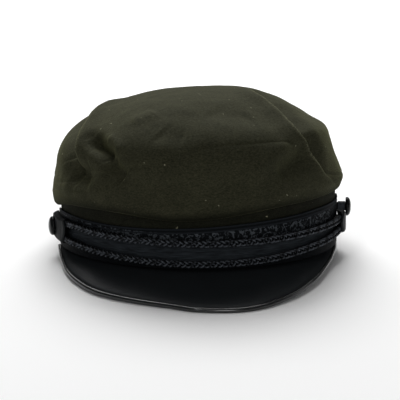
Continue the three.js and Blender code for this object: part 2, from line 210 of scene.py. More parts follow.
wander = add(tree, "ShaderNodeTexNoise", {"Vector": place, "Scale": METRE / LINT_CURL_MM})
curl = add(tree, "ShaderNodeVectorMath", {
    0: wander.outputs["Color"], "Scale": LINT_WANDER_MM / METRE,
}, operation="SCALE")
lint_place = add(tree, "ShaderNodeVectorMath", {0: place, 1: curl}, operation="ADD")
lint_cells = add(tree, "ShaderNodeTexVoronoi", {"Vector": lint_place, "Scale": METRE / LINT_SPACING_MM})
lint_near = add(tree, "ShaderNodeMapRange", {0: lint_cells, 1: 0.05, 2: 0.1, 3: 1.0, 4: 0.0})
lint_chance = add(tree, "ShaderNodeSeparateColor", {0: lint_cells.outputs["Color"]})
lint_kept = add(tree, "ShaderNodeMath", {0: lint_chance, 1: LINT_BARE}, operation="GREATER_THAN")
lint = add(tree, "ShaderNodeMath", {0: lint_near, 1: lint_kept}, operation="MULTIPLY")

# Along the crown's creased edges the wool is drawn paler, partly wear and partly painted highlight where
# the edge catches the light, and towards its turned-under lower edge it is drawn darker, painted shade
# under the roll.
wear_and_highlight, painted_edge_shade = (
    add(tree, "ShaderNodeAttribute", attribute_name=mark).outputs["Fac"] for mark in ("wear_and_highlight", "painted_edge_shade")
)
wear_highlight_fibres = add(tree, "ShaderNodeMapRange", {0: fibres, 1: 0.42, 2: 0.6, 3: 0.1, 4: 0.6})
wear_highlight_part = add(tree, "ShaderNodeMath", {0: wear_and_highlight, 1: wear_highlight_fibres}, operation="MULTIPLY")
wool_colour = wool_colours.outputs[0]
for share, colour in ((lint, WOOL_LINT), (wear_highlight_part, WOOL_WEAR_AND_HIGHLIGHT), (painted_edge_shade, WOOL_PAINTED_SHADE)):
    layer = add(tree, "ShaderNodeMix", {0: share, 6: wool_colour, 7: linear(colour)}, data_type="RGBA")
    wool_colour = layer.outputs[2]
nap = add(tree, "ShaderNodeBump", {"Height": mottle, "Strength": 0.45, "Distance": 0.0006})
fill(shader, {
    "Base Color": wool_colour, "Normal": nap, "Roughness": 0.95, "IOR": 1.45, "Specular IOR Level": 0.1,
    "Sheen Weight": NAP_BLOOM, "Sheen Roughness": 0.4, "Sheen Tint": linear(WOOL_BLOOM),
})

# The band's wool is the crown's wool with darker colours and less sheen: painted shade under the crown's
# roll.
band_wool_painted_shade = wool.copy()
band_wool_painted_shade.name = "melton_wool_painted_shade"
band_shade_ramp = band_wool_painted_shade.node_tree.nodes[wool_colours.name].color_ramp
for stop, colour in zip(band_shade_ramp.elements, ("#0f0f0b", "#181911", "#21211a")):
    stop.color = linear(colour)
fill(band_wool_painted_shade.node_tree.nodes[shader.name], {"Sheen Weight": BAND_SHADE_BLOOM})

BAND_COLUMNS = 360
BAND_RINGS = (8, 16, 24, 32)  # mm up
FOLD_RADIUS = BAND_WALL / 2
UPPER_FOLD = [(0, -0.5), (-0.4, 0), (-1.8, 0), (-BAND_WALL, -0.5)]  # over the band's height
band_profile = []
for turn in range(0, 181, 30):
    inward = -FOLD_RADIUS - FOLD_RADIUS * math.cos(math.radians(turn))
    band_profile.append((inward, FOLD_RADIUS - FOLD_RADIUS * math.sin(math.radians(turn))))
band_profile += [(0, height) for height in BAND_RINGS]
band_profile += [(out, BAND_HEIGHT + over) for out, over in UPPER_FOLD]
whole_way = np.linspace(-180, 180, BAND_COLUMNS, endpoint=False)
band_sections = np.stack([on_band(whole_way, out, height) for out, height in band_profile], axis=1)
band_mesh = loft("band_cloth", lay_down(band_sections), ring=True)
sew("band_cloth", band_mesh, band_wool_painted_shade, "band")


# The crown
# The crown is soft wool in two pieces: a tall panel round the sides and a top panel, joined by a seam
# that runs low at the sides and high at the front. Its lower edge is turned under over the band.
# The top is slack, so the cloth hangs over in ridges, hollows and a deep pinch at the left.
CLOTH_WALL = 1.8
# From the roll at the bottom to the middle of the top: [reach, height] at each of the four sides.
CROWN_LEFT = [
    [93.8, 31.0], [92.5, 40.0], [90.8, 48.5], [89.6, 56.5], [86.8, 64.0], [81.4, 70.8],
    [72.8, 77.8], [61.2, 84.8], [45.6, 90.7], [26.0, 95.6], [0, 98.2],
]
CROWN_RIGHT = [
    [91.8, 39.0], [92.8, 43.5], [90.5, 49.5], [87.0, 58.0], [84.3, 66.5], [81.6, 73.5],
    [73.3, 78.9], [61.8, 85.8], [47.3, 93.0], [27.0, 97.9], [0, 98.2],
]
CROWN_FRONT = [
    [104.0, 36.5], [107.5, 46.0], [109.0, 56.0], [107.5, 66.0], [103.5, 74.0], [95.5, 80.5],
    [84.0, 85.6], [68.0, 91.0], [50.0, 95.0], [28.0, 97.6], [0, 98.2],
]
CROWN_BACK = [
    [103.5, 37.0], [107.5, 45.0], [108.5, 53.0], [107.0, 60.5], [102.5, 68.0], [94.5, 74.5],
    [83.0, 80.5], [69.0, 86.0], [52.0, 91.0], [31.0, 95.4], [0, 98.2],
]
LAST_ROW = len(CROWN_LEFT) - 1
# [angle, height] of the crown's lower edge, and [angle, crown row] of the seam.
CROWN_EDGE = [
    [-150, 30], [-110, 25.8], [-90, 24.9], [-80, 26.2], [-70, 29.4], [-56, 32], [-34, 31.4], [-14, 29],
    [1, 30], [15, 32.6], [30, 35], [55, 36.4], [75, 36], [110, 33.5], [150, 31.5],
]
SEAM_LINE = [
    [-160, 1.7], [-110, 1.3], [-75, 1.25], [-52, 1.9], [-36, 2.5], [-19, 2.95], [-9, 3.5], [0, 3.85],
    [14, 4.05], [32, 4.15], [40, 3.7], [46, 3.0], [54, 2.1], [75, 1.25], [110, 1.3], [160, 1.7],
]
SHORT_TURN = 0.5  # degrees, and the share of a row below, over which a slope is taken
SHORT_ROW = 0.01
TOP_NEAR = 0.02  # rows from the middle of the top, where the crown faces straight up


def round_cap(rows, angle):
    """A smooth closed curve through [angle, value] rows, read at any angles."""
    first, value = np.array(rows, float).T
    before, after = np.roll(first, 1), np.roll(first, -1)
    before[0] -= 360
    after[-1] += 360
    slope = (np.roll(value, -1) - np.roll(value, 1)) / (after - before)
    a = (np.asarray(angle, float) - first[0]) % 360 + first[0]
    i = np.clip(np.searchsorted(first, a, side="right") - 1, 0, len(rows) - 1)
    k = (i + 1) % len(rows)
    width = after[i] - first[i]
    f = (a - first[i]) / width
    return (
        (2 * f**3 - 3 * f**2 + 1) * value[i]
        + (f**3 - 2 * f**2 + f) * slope[i] * width
        + (3 * f**2 - 2 * f**3) * value[k]
        + (f**3 - f**2) * slope[k] * width
    )


def ease(low, high, value):
    """A soft step from 0 at low to 1 at high."""
    f = np.clip((np.asarray(value, float) - low) / (high - low), 0, 1)
    return f * f * (3 - 2 * f)


def bell(away, width):
    """A smooth rise that is 1 in the middle and dies away over the width."""
    return np.exp(-((away / width) ** 2))


def unit(v):
    """Directions made one long."""
    return v / np.linalg.norm(v, axis=-1, keepdims=True)


def bend_between(a, b, c, d, f):
    """The share f of the way from b to c, on a smooth curve that comes from a and goes on to d."""
    bend = (2 * a - 5 * b + 4 * c - d) * f**2 + (3 * b - a - 3 * c + d) * f**3
    return 0.5 * (2 * b + (c - a) * f + bend)


def up_the_rows(rows, column, t):
    """One column of a side's crown rows, read smoothly at any fraction of a row."""
    value = np.array(rows)[:, column]
    over_top = value[-2] * (-1 if column == 0 else 1)
    value = np.concatenate([[2 * value[0] - value[1]], value, [over_top]])
    i = np.clip(np.floor(t).astype(int), 0, LAST_ROW - 1)
    return bend_between(*(value[i + k] for k in range(4)), t - i)


def crown_base(angle, t):
    """The crown's full shape without its folds."""
    angle, t = np.broadcast_arrays(angle, t)
    s, c = np.sin(np.radians(angle)), np.cos(np.radians(angle))
    reach_x, rise_x = (
        np.where(s > 0, up_the_rows(CROWN_RIGHT, k, t), up_the_rows(CROWN_LEFT, k, t)) for k in (0, 1)
    )
    reach_y, rise_y = (
        np.where(c > 0, up_the_rows(CROWN_FRONT, k, t), up_the_rows(CROWN_BACK, k, t)) for k in (0, 1)
    )
    return np.stack([reach_x * s, -reach_y * c, rise_x * s * s + rise_y * c * c], axis=-1)


def crown_normal(angle, t):
    """The outward direction of the crown's full shape."""
    angle, t = np.broadcast_arrays(angle, t)
    across = crown_base(angle + SHORT_TURN, t) - crown_base(angle - SHORT_TURN, t)
    above, below = np.minimum(LAST_ROW, t + SHORT_ROW), np.maximum(0, t - SHORT_ROW)
    normal = np.cross(across, crown_base(angle, above) - crown_base(angle, below))
    normal[t > LAST_ROW - TOP_NEAR] = [0, 0, 1]
    return unit(normal)


# Soft folds: how far each stands out or in, half its width in mm, and its run of [angle, crown row].
SOFT_FOLDS = [
    (-8.5, 4.8, [[-57, 5.0], [-49.5, 4.4], [-43, 3.75], [-40.5, 3.15]]),
    (2.0, 4.0, [[-46, 4.9], [-39, 4.2], [-35, 3.5]]),
    (-5.5, 6.0, [[-41.5, 3.1], [-37, 2.45], [-32.5, 1.85]]),
    (-8.0, 7.0, [[-65, 2.45], [-56, 2.1], [-50, 2.3]]),
    (1.8, 7.0, [[-70, 1.2], [-54, 1.0], [-38, 1.0]]),
    (-5.0, 6.5, [[46, 3.7], [40.5, 3.05], [34, 2.55], [25, 2.1]]),
    (2.2, 5.5, [[36, 4.0], [27, 3.3], [20, 2.7], [14, 1.9]]),
    (-2.0, 9.0, [[-22, 5.2], [-15, 4.8], [-8, 4.6]]),
    (1.6, 8.0, [[-38, 6.1], [-32, 6.5], [-26, 6.9]]),
    (-1.6, 12.0, [[2, 7.0], [14, 6.6], [26, 6.4]]),
]
# Creased folds: the cloth rises to a sharp edge, then drops behind it and comes slowly back. Each has
# its rise and width, its drop and width, the side that drops, and its run.
CREASED_FOLDS = [
    (2.8, 8.0, 6.5, 26.0, -1, [
        [93, 8.9], [72, 8.7], [51.5, 8.25], [44.5, 7.35], [41.5, 6.2], [40.3, 5.2], [41.8, 4.55],
        [45, 4.0], [47, 3.05], [51.5, 1.95], [57, 1.2],
    ]),
    (2.8, 8.0, 6.5, 26.0, 1, [
        [-112, 7.6], [-102, 7.35], [-92, 6.9], [-76, 6.2], [-66, 5.1], [-61, 3.9], [-60, 2.65],
    ]),
]
CREASE_TURN = 1.6
# The paler line along each sharp edge, partly wear and partly painted highlight, has this half width in mm.
WEAR_AND_HIGHLIGHT_WIDTH = 1.3
FOLD_PARTS = 6
FADE_IN = 0.25  # shares of a fold's run
FADE_OUT = 0.8
LEFT_AT_START = 0.3  # shares of a soft fold's height at its start, and of any fold's at its end
LEFT_AT_END = 0.3


def through(points, parts):
    """A smooth line through a run of control points, with that many parts between neighbours."""
    points = np.stack(points, axis=1)
    padded = np.concatenate([points[:, :1], points, points[:, -1:]], axis=1)
    line = []
    for k in range(points.shape[1] - 1):
        for f in np.arange(parts) / parts:
            line.append(bend_between(*(padded[:, k + m] for m in range(4)), f))
    return line


def near_fold(run, places, normals):
    """How far places are from a fold's run, on which side of it, and how far along it they lie."""
    smooth_run = through([np.array([p], float) for p in run], FOLD_PARTS)
    path = np.stack([crown_base(*p[0]) for p in smooth_run])
    best = np.full(places.shape[:-1], np.inf)
    reached = np.zeros(best.shape)
    side = np.ones(best.shape)
    for k, (start, end) in enumerate(zip(path[:-1], path[1:])):
        leg = end - start
        f = np.clip(((places - start) @ leg) / (leg @ leg), 0, 1)
        off = places - start - f[..., None] * leg
        away = np.linalg.norm(off, axis=-1)
        nearer = away < best
        best = np.where(nearer, away, best)
        reached = np.where(nearer, (k + f) / (len(path) - 1), reached)
        turned = np.sum(np.cross(leg, normals) * off, axis=-1)
        side = np.where(nearer, np.sign(turned), side)
    return best, side, reached


def end_fade(reached, start):
    """A fold that dies away towards both its ends, and begins with the given share of its height."""
    rising = start + (1 - start) * ease(0, FADE_IN, reached)
    return rising * (LEFT_AT_END + (1 - LEFT_AT_END) * (1 - ease(FADE_OUT, 1, reached)))


def fold_shift(places, normals):
    """How far the folds push each place of the crown out or in."""
    shift = np.zeros(places.shape[:-1])
    for out, width, run in SOFT_FOLDS:
        away, _, reached = near_fold(run, places, normals)
        shift += out * end_fade(reached, LEFT_AT_START) * bell(away, width)
    for rise, rise_width, drop, drop_width, outer, run in CREASED_FOLDS:
        away, side, reached = near_fold(run, places, normals)
        before = rise * bell(away, rise_width)
        edge = bell(away, CREASE_TURN)
        behind = rise * edge - drop * (1 - edge) * (1 - ease(0, drop_width, away))
        shift += end_fade(reached, 0) * np.where(side == outer, behind, before)
    return shift


def crease_wear_and_highlight(angle, t):
    """How much the sharp edges are drawn paler, from 0 to 1: partly wear, partly painted highlight."""
    base, normals = crown_base(angle, t), crown_normal(angle, t)
    wear_and_highlight = np.zeros(base.shape[:-1])
    for *_, run in CREASED_FOLDS:
        away, _, reached = near_fold(run, base, normals)
        wear_and_highlight = np.maximum(wear_and_highlight, end_fade(reached, 0) * bell(away, WEAR_AND_HIGHLIGHT_WIDTH))
    return wear_and_highlight


# Slack cloth is never quite smooth: soft swells about 22 mm across, and smaller ones on them.
SWELLS = [(0.45, 22.0), (0.2, 9.0)]
FULL_FOLDS_ROW = 1.2  # the crown row from which folds and swells have their full height
SEAM_DIP = 0.4
SEAM_DIP_WIDTH = 1.1


def swell(places):
    """Gentle unevenness of the slack cloth."""
    flat = places.reshape(-1, 3)
    lift = [sum(h * noise.noise(Vector(p / size)) for h, size in SWELLS) for p in flat]
    return np.array(lift).reshape(places.shape[:-1])


def crown_skin(angle, t, inward=0.0):
    """A place on the crown's outside, or that far inside it, with folds, swells and the seam's dip."""
    base, normals = crown_base(angle, t), crown_normal(angle, t)
    away = np.linalg.norm(base - crown_base(angle, round_cap(SEAM_LINE, angle)), axis=-1)
    dip = SEAM_DIP * bell(away, SEAM_DIP_WIDTH) if inward == 0 else 0
    shift = (fold_shift(base, normals) + swell(base)) * ease(0, FULL_FOLDS_ROW, t) - dip - inward
    return base + normals * shift[..., None]


# The lower edge starts on the band's top, is turned under, sags a little and goes on as the crown's skin.
CROWN_COLUMNS = 480
EDGE_SHADE_FADE = (-1.0, 6.5)  # mm over the crown's lower edge, over which its painted shade fades from full to none
SEAT_OUT = 0.5
ROLL_OUT = 0.2
ROLL_PARTS = 5
# Its place as a share of how far the crown hangs out there, and its height over the crown's edge.
TURNED_UNDER = [(0.1, 2.4), (0.2, 0.8), (0.36, 0.0), (0.56, 0.5)]
SAG_SHARE = 0.55
SAG_DROP = 0.6
SKIN_START = 0.25  # crown rows
column = np.linspace(-180, 180, CROWN_COLUMNS, endpoint=False)
seam_row = round_cap(SEAM_LINE, column)
edge_height = round_cap(CROWN_EDGE, column)

roll = [on_band(column, SEAT_OUT, BAND_HEIGHT + SEWN_GAP)]
low_skin = crown_skin(column, np.zeros_like(column))
hang = np.hypot(low_skin[:, 0], low_skin[:, 1]) - np.hypot(*on_band(column, 0, 0)[:, :2].T)
roll += [on_band(column, ROLL_OUT + share * hang, edge_height + over) for share, over in TURNED_UNDER]
sag = roll[-1] + SAG_SHARE * (low_skin - roll[-1])
sag[:, 2] -= SAG_DROP
roll += [sag, crown_skin(column, np.full_like(column, SKIN_START))]
seat = on_band(column, -BAND_WALL, BAND_HEIGHT + SEWN_GAP)
rolled_edge = np.stack([seat] + through(roll, ROLL_PARTS), axis=1)

# Inside, the lining side of the cloth starts at the crown row that is level with the band's top.
INSIDE_EDGE = [(-BAND_WALL, 1.8), (0.2, 2.1), (1.8, 2.6)]  # out from the band, over its top
LINING_RISE = 0.8
HALVINGS = 20
lining_low = np.zeros_like(column)
lining_high = np.full_like(column, float(LAST_ROW))
for _ in range(HALVINGS):
    halfway = (lining_low + lining_high) / 2
    under = crown_base(column, halfway)[:, 2] < BAND_HEIGHT + INSIDE_EDGE[-1][1] + LINING_RISE
    lining_low = np.where(under, halfway, lining_low)
    lining_high = np.where(under, lining_high, halfway)


def rows_between(low, high, shares):
    """Crown rows from low to high for each column, at the given shares of the way."""
    return low[:, None] + (high - low)[:, None] * shares


SIDE_ROWS = 44
SIDE_LINING_ROWS = 12
TOP_ROWS = 110
TOP_LINING_ROWS = 24
side_rows = rows_between(np.full_like(column, SKIN_START), seam_row, np.linspace(0, 1, SIDE_ROWS))
lining_rows = rows_between(lining_low, seam_row, np.linspace(1, 0, SIDE_LINING_ROWS))
inside_edge = [on_band(column, out, BAND_HEIGHT + over) for out, over in INSIDE_EDGE[::-1]]
side_sections = np.concatenate([
    rolled_edge,
    crown_skin(column[:, None], side_rows),
    crown_skin(column[:, None], lining_rows, CLOTH_WALL),
    np.stack(inside_edge, axis=1),
], axis=1)
side_wear_and_highlight = np.zeros(side_sections.shape[:2])
skin_from = rolled_edge.shape[1]
side_wear_and_highlight[:, skin_from : skin_from + SIDE_ROWS] = crease_wear_and_highlight(column[:, None], side_rows)
# Painted shade: the wool is darkened towards the crown's lower edge, where the roll hangs over the band.
side_painted_shade = 1 - ease(*EDGE_SHADE_FADE, side_sections[..., 2] - edge_height[:, None])
side_marks = {"wear_and_highlight": side_wear_and_highlight, "painted_edge_shade": side_painted_shade}
side_mesh = loft("crown_side_cloth", lay_down(side_sections), ring=True, marks=side_marks)
sew("crown_side_cloth", side_mesh, wool, "crown_side")

apex_row = np.full_like(column, float(LAST_ROW))
top_rows = rows_between(seam_row, apex_row, np.linspace(0, 1, TOP_ROWS))
under_rows = rows_between(seam_row, apex_row, np.linspace(1, 0, TOP_LINING_ROWS))
top_sections = np.concatenate(
    [crown_skin(column[:, None], top_rows), crown_skin(column[:, None], under_rows, CLOTH_WALL)], axis=1
)
top_wear_and_highlight = np.zeros(top_sections.shape[:2])
top_wear_and_highlight[:, :TOP_ROWS] = crease_wear_and_highlight(column[:, None], top_rows)
top_mesh = loft("crown_top_cloth", lay_down(top_sections), ring=True, marks={"wear_and_highlight": top_wear_and_highlight})
sew("crown_top_cloth", top_mesh, wool, "crown_top")


# The ribbon
# A black figured ribbon, woven with matt ground and glossy leaf-like figures, is sewn round the front
# half of the band. It has a raised selvedge along its top and a second raised line 2.2 mm below it.
RIBBON_WALL = 0.9
RIBBON_LOW = 0.3
RIBBON_REACH = 86  # degrees to each side
RIBBON_COLUMNS = 260
RIBBON_ROWS = 61
RIBBON_BACK_ROWS = 6
# [angle, height] of both cords and of the ribbon's top.
UPPER_CORD = [
    [-90, 15.5], [-76, 16.2], [-70, 17.2], [-66, 18.1], [-61, 18.8], [-57, 18.9], [-48, 17.9], [-35, 17],
    [-4, 15.7], [21, 16], [43, 17], [60, 17.4], [76, 17.2], [90, 17],
]
LOWER_CORD = [
    [-90, 9.5], [-77, 8.4], [-59, 8.0], [-41, 6.1], [-22, 4.4], [-4, 3.6], [23, 4.6], [43, 7.4],
    [60, 9.4], [71, 10.4], [90, 10.6],
]
RIBBON_TOP = [
    [-90, 22.6], [-80, 23.2], [-70, 23.8], [-50, 23.4], [-30, 23.4], [-5, 24.6], [10, 26], [37, 28.2],
    [52, 29.2], [90, 29],
]
RIBBON_OUT = SEWN_GAP + RIBBON_WALL
SELVEDGE_STAND = 0.2
SELVEDGE_LINES = [0.5, 2.7]  # mm below the ribbon's top edge
SELVEDGE_HALF = 0.45

RIBBON_GROUND = "#101214"
# The next three are painted: glint on the leaves, sheen on the satin and highlight on the raised lines.
RIBBON_FIGURE_GLINT = "#404448"
RIBBON_SATIN_SHEEN = "#2e3236"
RIBBON_EDGE_HIGHLIGHT = "#1e2124"
FIGURE_MM = 2.4
STREAK_MM = 0.7  # real floats are about 0.2 mm wide; drawn coarse enough to show
STREAK_LIE = (0.08, 1.0, 1.0)  # the streaks are long along the ribbon
FIGURE_STARTS = [[-90, 0.9], [-45, 0.9], [5, 3.0], [90, 3.0]]  # [degrees, mm below the ribbon's top]
FIGURE_FADE = 0.6  # mm
PLAIN_FROM = (58, 70)  # degrees towards the right, where the figure gives way to plain weave
WEAVE_CHANGE = 1.0  # mm to each side of a cord's middle, over which the weave changes under it

# Figured ribbon: satin floats lie in small ragged leaves on a matt ground. The leaves' paler colour is
# painted glint.
ribbon_weave, tree, shader = finish_for("figured_black_ribbon")
place = add(tree, "ShaderNodeUVMap", uv_map="UVMap")
below_top, figured, satin = (
    add(tree, "ShaderNodeAttribute", attribute_name=mark).outputs["Fac"]
    for mark in ("below_top", "figured", "satin")
)
figure = add(tree, "ShaderNodeTexNoise", {
    "Vector": place, "Scale": METRE / FIGURE_MM, "Detail": 2.0, "Roughness": 0.55, "Distortion": 1.2,
})
figure_leaf = add(tree, "ShaderNodeMapRange", {0: figure, 1: 0.51, 2: 0.57, 3: 0.0, 4: 1.0})
figure_mask = add(tree, "ShaderNodeMath", {0: figure_leaf, 1: figured}, operation="MULTIPLY")
# Between the cords the weave is plain satin, with paler streaks along it that are painted sheen.
streak_place = add(tree, "ShaderNodeMapping", {"Vector": place, "Scale": STREAK_LIE})
streaks = add(tree, "ShaderNodeTexNoise", {
    "Vector": streak_place, "Scale": METRE / STREAK_MM, "Detail": 1.0,
})
satin_sheen_streaks = add(tree, "ShaderNodeMapRange", {0: streaks, 1: 0.3, 2: 0.7, 3: 0.2, 4: 1.0})
satin_sheen_mask = add(tree, "ShaderNodeMath", {0: satin_sheen_streaks, 1: satin}, operation="MULTIPLY")
# Painted highlight: both raised selvedge lines are drawn paler than the ground.
edge_highlights = []
for line in SELVEDGE_LINES:
    away = add(tree, "ShaderNodeMath", {0: below_top, 1: line}, operation="SUBTRACT")
    near = add(tree, "ShaderNodeMath", {0: away}, operation="ABSOLUTE")
    edge_highlights.append(add(tree, "ShaderNodeMapRange", {0: near, 1: 0.25, 2: 0.6, 3: 1.0, 4: 0.0}))
both_edge_highlights = add(tree, "ShaderNodeMath", dict(enumerate(edge_highlights)), operation="ADD")
ribbon_colour = linear(RIBBON_GROUND)
for share, colour in ((figure_mask, RIBBON_FIGURE_GLINT), (satin_sheen_mask, RIBBON_SATIN_SHEEN), (both_edge_highlights, RIBBON_EDGE_HIGHLIGHT)):
    layer = add(tree, "ShaderNodeMix", {0: share, 6: ribbon_colour, 7: linear(colour)}, data_type="RGBA")
    ribbon_colour = layer.outputs[2]
ribbon_rough = add(tree, "ShaderNodeMapRange", {0: figure_mask, 3: 0.55, 4: 0.28})
weave_relief = add(tree, "ShaderNodeMath", {0: figure_mask, 1: streaks}, operation="ADD")
weave_bump = add(tree, "ShaderNodeBump", {"Height": weave_relief, "Strength": 0.8, "Distance": 0.0004})
fill(shader, {
    "Base Color": ribbon_colour, "Normal": weave_bump, "Roughness": ribbon_rough, "IOR": 1.5,
    "Specular IOR Level": 0.01,
})

ribbon_way = np.linspace(-RIBBON_REACH, RIBBON_REACH, RIBBON_COLUMNS)
ribbon_top = round_cap(RIBBON_TOP, ribbon_way)
ribbon_shares = np.concatenate([np.linspace(0, 1, RIBBON_ROWS), np.linspace(1, 0, RIBBON_BACK_ROWS)])
ribbon_height = RIBBON_LOW + (ribbon_top[:, None] - RIBBON_LOW) * ribbon_shares
from_top = ribbon_top[:, None] - ribbon_height
stand = sum(bell(from_top - line, SELVEDGE_HALF) for line in SELVEDGE_LINES)
at_front = np.arange(len(ribbon_shares)) < RIBBON_ROWS
ribbon_stand = np.where(at_front, RIBBON_OUT + SELVEDGE_STAND * stand, SEWN_GAP)
above_upper, above_lower = (
    ease(-WEAVE_CHANGE, WEAVE_CHANGE, ribbon_height - round_cap(cord, ribbon_way)[:, None])
    for cord in (UPPER_CORD, LOWER_CORD)
)
figure_starts = round_cap(FIGURE_STARTS, ribbon_way)[:, None]
shows = ease(figure_starts, figure_starts + FIGURE_FADE, from_top) * above_upper
ribbon_marks = {
    "below_top": from_top,
    "figured": shows * (1 - ease(*PLAIN_FROM, ribbon_way))[:, None],
    "satin": above_lower - above_upper,
}
ribbon_places = lay_down(on_band(ribbon_way[:, None], ribbon_stand, ribbon_height))
ribbon_mesh = loft("ribbon_cloth", ribbon_places, ring=False, marks=ribbon_marks)
sew("ribbon_cloth", ribbon_mesh, ribbon_weave, "ribbon")


# The plaited cords
# Two black cords, each plaited from three twisted strands, lie one over the other across the ribbon
# from tab to tab. Their plaits make arrow heads about 3.6 mm apart that all point the same way.
CORD_THICK = 2.2  # half a cord's depth where it lies free
CORD_PRESSED = 1.3  # half its depth under the tabs
FREE_FROM = (-70, -61)  # degrees, where the left tab lets the cords go
FREE_TO = (76, 81)  # and where the right tab presses them flat again
CORD_POINTS = 160
PLAIT_SIZES = {
    "Plait repeat": 0.0108,
    "Half width": 0.0015,
    "Half depth": 0.0012,
    "Strand width": 0.0008,
    "Strand depth": 0.0009,
    "Step": 0.00055,
}
STRANDS = 3
STRAND_SIDES = 12
FULL_TURN = 2 * math.pi

CORD_DARK = "#08090a"
# The pale thread colour is painted highlight on the strands' outward crests.
CORD_CREST_HIGHLIGHT = "#484c52"
THREAD_TWIST_MM = 1.6
THREADS_ROUND = 5

# Plaited rayon cord: it is drawn pale on the strands' outward crests where a strand comes to the front,
# which is painted highlight, and near black down between the strands, which is painted shade.
braid, tree, shader = finish_for("plaited_black_cord")
strand_along, strand_about, strand_facing, strand_front = (
    add(tree, "ShaderNodeAttribute", attribute_name=mark).outputs["Fac"]
    for mark in ("strand_along", "strand_about", "strand_facing", "strand_front")
)
about = add(tree, "ShaderNodeMath", {0: strand_about, 1: THREADS_ROUND}, operation="MULTIPLY")
twist = add(tree, "ShaderNodeMath", {
    0: strand_along, 1: METRE / THREAD_TWIST_MM, 2: about,
}, operation="MULTIPLY_ADD")
over_threads = add(tree, "ShaderNodeMath", {0: twist, 1: 1.0}, operation="PINGPONG")
thread = add(tree, "ShaderNodeMath", {0: over_threads, 1: 0.7}, operation="POWER")
# Painted highlight where a strand faces out and comes to the front; elsewhere painted shade, near black.
front_highlight = add(tree, "ShaderNodeMapRange", {0: strand_front, 1: -0.95, 2: -0.2, 3: 0.05, 4: 1.0})
crest_highlight = add(tree, "ShaderNodeMapRange", {0: strand_facing, 1: 0.6, 2: 0.97, 3: 0.0, 4: 1.0})
lit_crest = add(tree, "ShaderNodeMath", {0: front_highlight, 1: crest_highlight}, operation="MULTIPLY")
thread_part = add(tree, "ShaderNodeMapRange", {0: thread, 1: 0.0, 2: 1.0, 3: 0.75, 4: 1.0})
thread_highlight = add(tree, "ShaderNodeMath", {0: lit_crest, 1: thread_part}, operation="MULTIPLY")
crest_highlight_colour = add(tree, "ShaderNodeMix", {
    0: thread_highlight, 6: linear(CORD_DARK), 7: linear(CORD_CREST_HIGHLIGHT),
}, data_type="RGBA")
thread_bump = add(tree, "ShaderNodeBump", {"Height": thread, "Strength": 0.4, "Distance": 0.0002})
fill(shader, {
    "Base Color": crest_highlight_colour.outputs[2], "Normal": thread_bump, "Roughness": 0.45, "IOR": 1.5,
    "Specular IOR Level": 0.12,
})


def new_tree(name, sizes, counts=()):
    """A Geometry Nodes tree with a named input for each size and count, and what comes into it."""
    made = bpy.data.node_groups.new(name, "GeometryNodeTree")
    sockets = [("Geometry", "INPUT", "Geometry"), ("Geometry", "OUTPUT", "Geometry")]
    sockets += [(size, "INPUT", "Float") for size in sizes]
    sockets += [(number, "INPUT", "Int") for number in counts]
    for socket, way, kind in sockets:
        made.interface.new_socket(socket, in_out=way, socket_type="NodeSocket" + kind)
    return made, add(made, "NodeGroupInput").outputs


def end_tree(made, shape, material):
    """Ends a tree: what it made is made real, gets its material and goes out."""
    real = add(made, "GeometryNodeRealizeInstances", {"Geometry": shape})
    dressed = add(made, "GeometryNodeSetMaterial", {"Geometry": real, "Material": material})
    add(made, "NodeGroupOutput", {"Geometry": dressed})


def run_tree(name, host, made, sizes):
    """Runs a tree on its host with the given sizes, and keeps the result as a plain mesh."""
    modifier = host.modifiers.new("make", "NODES")
    modifier.node_group = made
    for item in made.interface.items_tree:
        if item.in_out == "INPUT" and item.name in sizes:
            modifier[item.identifier] = sizes[item.name]
    bpy.context.scene.collection.objects.link(host)
    graph = bpy.context.evaluated_depsgraph_get()
    mesh = bpy.data.meshes.new_from_object(
        host.evaluated_get(graph), preserve_all_data_layers=True, depsgraph=graph
    )
    mesh.name = name
    bpy.data.objects.remove(host)
    tidy_mesh(mesh, crease=60)
    return mesh


def guide_line(name, points, outward=None):
    """A bare line of points, each with the direction that faces away from the cap."""
    mesh = bpy.data.meshes.new(name)
    mesh.from_pydata(points.tolist(), [(k, k + 1) for k in range(len(points) - 1)], [])
    if outward is not None:
        facing = mesh.attributes.new("outward", "FLOAT_VECTOR", "POINT")
        facing.data.foreach_set("vector", outward.astype(np.float32).ravel())
    return bpy.data.objects.new(name, mesh)


# The plait's tree: each strand swings once from side to side and twice from front to back in a repeat,
# and each starts a third of a repeat after the one before.
plait, given = new_tree("plait", PLAIT_SIZES)
spline = add(plait, "GeometryNodeSplineParameter").outputs
line = add(plait, "GeometryNodeMeshToCurve", {"Mesh": given["Geometry"]})
evenly = add(plait, "GeometryNodeResampleCurve", {"Curve": line, "Length": given["Step"]}, mode="LENGTH")
strands = add(plait, "GeometryNodeDuplicateElements", {
    "Geometry": evenly, "Amount": STRANDS,
}, domain="SPLINE")
strand_number = strands.outputs["Duplicate Index"]
repeats = add(plait, "ShaderNodeMath", {0: spline["Length"], 1: given["Plait repeat"]}, operation="DIVIDE")
start = add(plait, "ShaderNodeMath", {0: strand_number, 1: STRANDS}, operation="DIVIDE")
turns = add(plait, "ShaderNodeMath", {0: start, 1: repeats}, operation="SUBTRACT")
outward = add(plait, "GeometryNodeInputNamedAttribute", {"Name": "outward"}, data_type="FLOAT_VECTOR")
tangent = add(plait, "GeometryNodeInputTangent")
across = add(plait, "ShaderNodeVectorMath", {0: outward, 1: tangent}, operation="CROSS_PRODUCT")
upward = add(plait, "ShaderNodeVectorMath", {0: across}, operation="NORMALIZE")
moves = []
